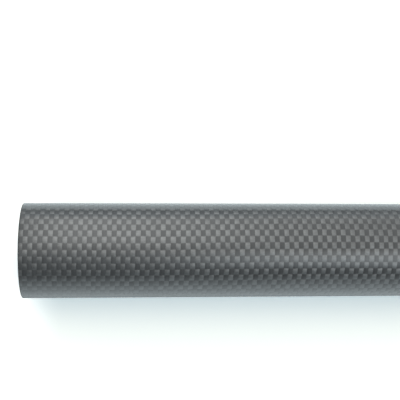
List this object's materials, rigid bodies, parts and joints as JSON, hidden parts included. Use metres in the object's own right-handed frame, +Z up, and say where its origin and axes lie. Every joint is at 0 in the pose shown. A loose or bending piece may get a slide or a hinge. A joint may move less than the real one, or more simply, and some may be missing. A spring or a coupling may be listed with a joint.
{
  "type": "carbon fibre tube",
  "caption": "Straight round thin-walled carbon fibre tube, cut square at both ends, stock for light frames, booms and spars.",
  "frame": {"origin": "middle of the tube's foot, on its axis", "axes": "+Z up along the tube's axis"},
  "size_m": [0.03, 0.03, 0.5],
  "materials": {
    "woven_carbon": "plain-woven carbon fibre under matt resin, dark grey with a soft sheen"
  },
  "bodies": {
    "root": {"tube": "woven_carbon"}
  },
  "joints": []
}
